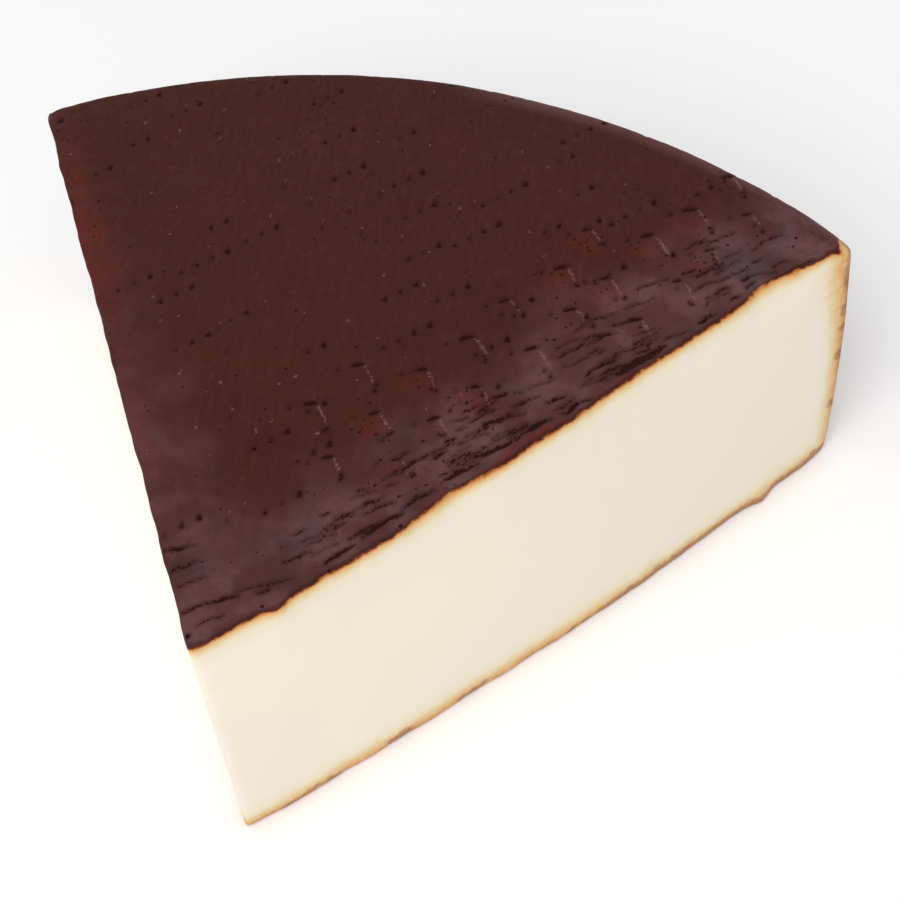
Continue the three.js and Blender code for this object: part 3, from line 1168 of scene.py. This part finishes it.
def cheese_material(colours):
    """Smoked semi-hard cheese.

    The rind was pressed, dried and smoked in a net. That gives the top an even chocolate brown with a low
    waxy gloss and the side a mottled golden brown. The top is darker in its pits and creases, with soot and
    painted shade, and greyer beside the cuts and round the far rim, partly with a painted sheen, and the pale
    specks at its dents are painted highlights. The paste was cut with a knife: it is smooth, cream white and
    slightly waxy, and turns yellow and then orange at the rind, where the smoke went in."""
    material = bpy.data.materials.new("smoked_semi_hard_cheese")
    material.use_nodes = True
    tree = material.node_tree
    tree.nodes.clear()
    place = add_node(tree, "ShaderNodeTexCoord", {}, "Object")
    drawn = add_node(tree, MAPPING, {"Rotation": (0, 0, -NET_LEAN), "Vector": place})
    masks = {
        name: add_node(tree, "ShaderNodeAttribute", {"attribute_name": name}, "Fac") for name in MASKS
    }
    grains = {}
    for name, (sizes, detail, roughness) in GRAINS.items():
        scale = tuple(1 / (size * MM) for size in sizes)
        scaled = add_node(tree, MAPPING, {"Scale": scale, "Vector": drawn if name == "streak" else place})
        settings = {"Scale": 1.0, "Detail": detail, "Roughness": roughness, "Vector": scaled}
        grains[name] = add_node(tree, NOISE, settings, "Fac")
    grains["pit"] = small_pits(tree, place, masks["crumbs"])

    wobble = add_node(tree, MATHS, {"operation": "SUBTRACT", 0: grains["wobble"], 1: 0.5})
    wobble = add_node(tree, MATHS, {"operation": "MULTIPLY", 0: wobble, 1: 1.1})
    deep = add_node(tree, MATHS, {"operation": "ADD", 0: masks["paste_depth"], 1: wobble})
    in_paste = {FROM_LOW: -0.12, FROM_HIGH: 0.12, "interpolation_type": "SMOOTHSTEP"}
    in_paste = add_node(tree, RANGE, {"Value": deep, **in_paste})
    rind, hollows = rind_colour(tree, deep, masks, colours, grains)
    paste = paste_colour(tree, deep, masks, colours, grains)

    gloss = add_node(tree, RANGE, {"Value": in_paste, TO_LOW: 0.56, TO_HIGH: 0.46})
    uneven = {FROM_LOW: 0.3, FROM_HIGH: 0.7, TO_LOW: -0.06, TO_HIGH: 0.06}
    uneven = add_node(tree, RANGE, {"Value": grains["speck"], **uneven})
    gloss = add_node(tree, MATHS, {"operation": "ADD", 0: gloss, 1: uneven})
    fine = add_node(tree, MATHS, {"operation": "MULTIPLY", 0: grains["fine"], 1: 0.35})
    bumps = add_node(tree, MATHS, {"operation": "ADD", 0: fine, 1: grains["speck"]})
    sunk = add_node(tree, MATHS, {"operation": "MULTIPLY", 0: hollows, 1: 1.1})
    bumps = add_node(tree, MATHS, {"operation": "SUBTRACT", 0: bumps, 1: sunk})
    smoother = add_node(tree, RANGE, {"Value": in_paste, TO_LOW: 1, TO_HIGH: 0.12})
    bumps = add_node(tree, MATHS, {"operation": "MULTIPLY", 0: bumps, 1: smoother})
    settings = {
        "IOR": 1.45,
        "Specular IOR Level": 0.1,
        "Base Color": layered(tree, rind, [(in_paste, paste)]),
        "Roughness": gloss,
        "Normal": add_node(
            tree, "ShaderNodeBump", {"Strength": 0.7, "Distance": 0.22 * MM, "Height": bumps}
        ),
    }
    surface = add_node(tree, "ShaderNodeBsdfPrincipled", settings)
    add_node(tree, "ShaderNodeOutputMaterial", {"Surface": surface})
    return material


# ---------------------------------------------------------------------------------------------------------
# Operators
# ---------------------------------------------------------------------------------------------------------


def new_piece(name, points, faces, masks):
    """A mesh object at the origin from points in mm, triangles and one attribute for each mask."""
    mesh = bpy.data.meshes.new(name)
    mesh.vertices.add(len(points))
    mesh.vertices.foreach_set("co", (points * MM).astype(np.float32).ravel())
    mesh.loops.add(faces.size)
    mesh.loops.foreach_set("vertex_index", faces.astype(np.int32).ravel())
    mesh.polygons.add(len(faces))
    mesh.polygons.foreach_set("loop_start", np.arange(0, faces.size, 3, dtype=np.int32))
    mesh.update(calc_edges=True)
    if mesh.validate():
        raise RuntimeError(f"{name} has faces that can't be kept")
    mesh.shade_smooth()
    for key, values in masks.items():
        mesh.attributes.new(key, "FLOAT", "POINT").data.foreach_set("value", values.astype(np.float32))
    piece = bpy.data.objects.new(name, mesh)
    bpy.context.scene.collection.objects.link(piece)
    return piece


class CHEESE_OT_build_wedge(bpy.types.Operator):
    """Build the wedge with its rind and its two cut faces"""

    bl_idname = "cheese.build_wedge"
    bl_label = "Build Wedge"

    def execute(self, context):
        form = Form(context.scene.wedge_shape)
        points, faces, masks = wedge_surface(form)
        piece = new_piece(PIECE, points, faces, masks)
        piece.data.materials.append(cheese_material(context.scene.wedge_colours))
        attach(piece, "root")
        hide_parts(CAD_NODE)
        return {"FINISHED"}


class CHEESE_OT_build_stage(bpy.types.Operator):
    """Build the floor, the light and the camera"""

    bl_idname = "cheese.build_stage"
    bl_label = "Build Stage"

    def execute(self, context):
        stage = context.scene.wedge_stage
        add_floor(stage)
        add_light(context.scene, stage)
        add_camera(context.scene, stage)
        context.scene.view_settings.view_transform = "Standard"
        return {"FINISHED"}


def add_floor(stage, half=3.0, gap=0.05 * MM):
    """A square floor, twice `half` metres wide, with its top just under the wedge."""
    mesh = bpy.data.meshes.new("floor")
    corners = [(-half, -half, -gap), (half, -half, -gap), (half, half, -gap), (-half, half, -gap)]
    mesh.from_pydata(corners, [], [(0, 1, 2, 3)])
    floor = bpy.data.objects.new("floor", mesh)
    bpy.context.scene.collection.objects.link(floor)
    material = bpy.data.materials.new("matt_paper_floor")
    material.use_nodes = True
    shader = material.node_tree.nodes["Principled BSDF"]
    shader.inputs["Base Color"].default_value = (*stage.floor, 1)
    shader.inputs["Roughness"].default_value = 0.9
    shader.inputs["Specular IOR Level"].default_value = 0.0
    mesh.materials.append(material)


def add_light(scene, stage):
    """An even white sky and one large soft lamp in front of the tip and above it, turned to the wedge."""
    world = bpy.data.worlds.new("even_sky")
    world.use_nodes = True
    background = world.node_tree.nodes["Background"]
    background.inputs["Color"].default_value = (1, 1, 1, 1)
    background.inputs["Strength"].default_value = stage.sky
    scene.world = world
    lamp = bpy.data.lights.new("soft_lamp", "AREA")
    lamp.shape = "DISK"
    lamp.size = LAMP_WIDTH
    lamp.energy = stage.key
    holder = bpy.data.objects.new("soft_lamp", lamp)
    holder.location = LAMP_PLACE
    holder.rotation_euler = (-holder.location).to_track_quat("-Z", "Y").to_euler()
    scene.collection.objects.link(holder)


def add_camera(scene, stage):
    """The camera, looking at its aim from its azimuth and elevation and leaning by its roll."""
    a, e = stage.azimuth, stage.elevation
    back = Vector((math.sin(a) * math.cos(e), -math.cos(a) * math.cos(e), math.sin(e)))
    aim = (CAD_LOW + CAD_HIGH) / 2 + Vector(stage.aim)
    turn = (-back).to_track_quat("-Z", "Y").to_matrix() @ Matrix.Rotation(-stage.roll, 3, "Z")
    data = bpy.data.cameras.new("camera")
    data.sensor_width = SENSOR_WIDTH
    data.lens = stage.lens
    data.clip_start = 0.01
    data.clip_end = 20
    camera = bpy.data.objects.new("camera", data)
    camera.location = aim + back * stage.distance
    camera.rotation_euler = turn.to_euler()
    scene.collection.objects.link(camera)
    scene.camera = camera


class CHEESE_PT_panel(bpy.types.Panel):
    """Settings and buttons of the cheese wedge"""

    bl_label = "Smoked Cheese Wedge"
    bl_idname = "CHEESE_PT_panel"
    bl_space_type = "VIEW_3D"
    bl_region_type = "UI"
    bl_category = "Cheese"

    def draw(self, context):
        layout = self.layout
        for group in (context.scene.wedge_shape, context.scene.wedge_colours, context.scene.wedge_stage):
            box = layout.box()
            for name in group.__annotations__:
                box.prop(group, name)
        layout.operator(CHEESE_OT_build_wedge.bl_idname)
        layout.operator(CHEESE_OT_build_stage.bl_idname)


GROUPS = {"wedge_shape": WedgeShape, "wedge_colours": WedgeColours, "wedge_stage": WedgeStage}
CLASSES = (*GROUPS.values(), CHEESE_OT_build_wedge, CHEESE_OT_build_stage, CHEESE_PT_panel)


def register():
    for each in CLASSES:
        bpy.utils.register_class(each)
    for name, group in GROUPS.items():
        setattr(bpy.types.Scene, name, PointerProperty(type=group))


def unregister():
    for name in GROUPS:
        delattr(bpy.types.Scene, name)
    for each in reversed(CLASSES):
        bpy.utils.unregister_class(each)


def main():
    """Builds everything."""
    register()
    bpy.ops.cheese.build_wedge()
    bpy.ops.cheese.build_stage()


if __name__ == "__main__":
    main()
